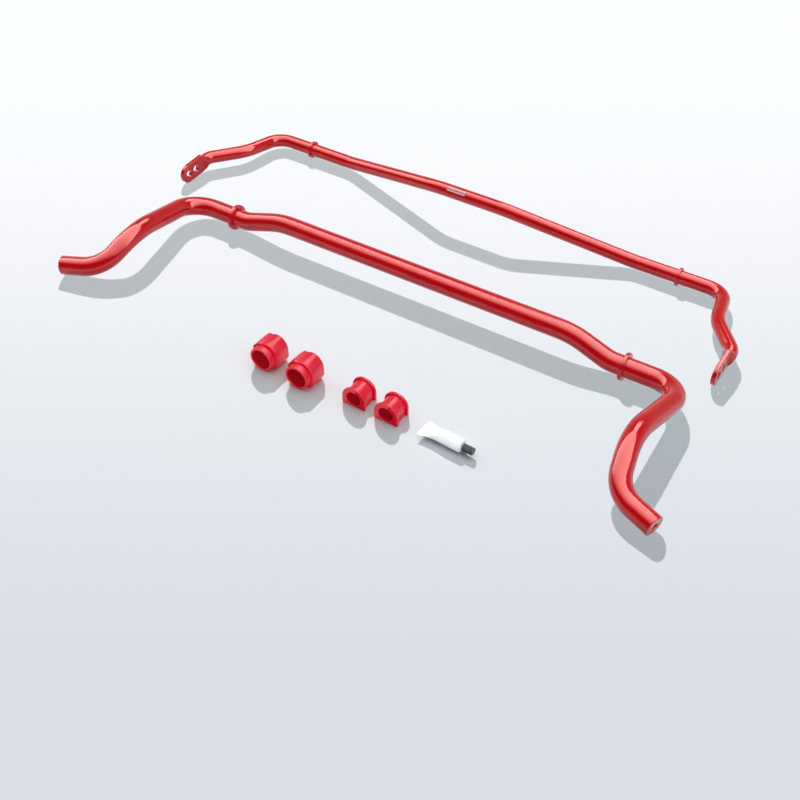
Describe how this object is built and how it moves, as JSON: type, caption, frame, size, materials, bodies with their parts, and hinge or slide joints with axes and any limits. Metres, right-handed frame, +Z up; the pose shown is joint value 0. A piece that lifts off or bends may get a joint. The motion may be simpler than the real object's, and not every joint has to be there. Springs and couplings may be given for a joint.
{
  "type": "sway bar",
  "caption": "Front and rear anti-roll bars with stop collars, split urethane bushings and a small capped tube of grease, laid out as a set.",
  "frame": {"origin": "middle of the set's bounding box, at the surface it rests on", "axes": "+X along the bars, to the right seen from the arm ends, +Y towards the rear bar, +Z up"},
  "size_m": [1.0086, 0.5268, 0.0665],
  "materials": {
    "red_paint": "gloss",
    "red_urethane": "satin",
    "white_print": "satin",
    "white_plastic": "satin",
    "black_plastic": "satin",
    "liner_foam": "matte"
  },
  "bodies": {
    "front_bar": {"front_bar": "red_paint", "front_collar_left": "red_paint", "front_collar_right": "red_paint"},
    "rear_bar": {"rear_bar": "red_paint", "rear_blade_left": "red_paint", "rear_blade_right": "red_paint", "rear_collar_left": "red_paint", "rear_collar_right": "red_paint", "rear_stripe_upper": "white_print", "rear_stripe_lower": "white_print"},
    "front_bushing_left": {"front_bushing_left": "red_urethane"},
    "front_bushing_right": {"front_bushing_right": "red_urethane"},
    "rear_bushing_left": {"rear_bushing_left": "red_urethane"},
    "rear_bushing_right": {"rear_bushing_right": "red_urethane"},
    "grease_tube": {"grease_sleeve": "white_plastic", "grease_head": "white_plastic"},
    "grease_cap_liner": {"grease_cap_liner": "liner_foam"},
    "grease_cap": {"grease_cap": "black_plastic"}
  },
  "joints": [
    {"name": "rear_bar_lift", "type": "slide", "parent": "front_bar", "child": "rear_bar", "axis": [0, 0, 1], "range_m": [0, 0.2]},
    {"name": "front_bushing_left_lift", "type": "slide", "parent": "front_bar", "child": "front_bushing_left", "axis": [0, 0, 1], "range_m": [0, 0.15]},
    {"name": "front_bushing_right_lift", "type": "slide", "parent": "front_bar", "child": "front_bushing_right", "axis": [0, 0, 1], "range_m": [0, 0.15]},
    {"name": "rear_bushing_left_lift", "type": "slide", "parent": "front_bar", "child": "rear_bushing_left", "axis": [0, 0, 1], "range_m": [0, 0.15]},
    {"name": "rear_bushing_right_lift", "type": "slide", "parent": "front_bar", "child": "rear_bushing_right", "axis": [0, 0, 1], "range_m": [0, 0.15]},
    {"name": "grease_tube_lift", "type": "slide", "parent": "front_bar", "child": "grease_tube", "axis": [0, 0, 1], "range_m": [0, 0.15]},
    {"name": "cap_advance", "type": "slide", "parent": "grease_tube", "child": "grease_cap_liner", "axis": [0.9981, -0.061, 0], "range_m": [0, 0.01]},
    {"name": "cap_turn", "type": "hinge", "parent": "grease_cap_liner", "child": "grease_cap", "pos_m": [0.2386, -0.24583, 0.0095], "axis": [0.9981, -0.061, 0], "range_deg": [0, 1800]}
  ],
  "couplings": [
    {"joint": "cap_turn", "follows": "cap_advance", "rad_per_m": 3141.6}
  ]
}
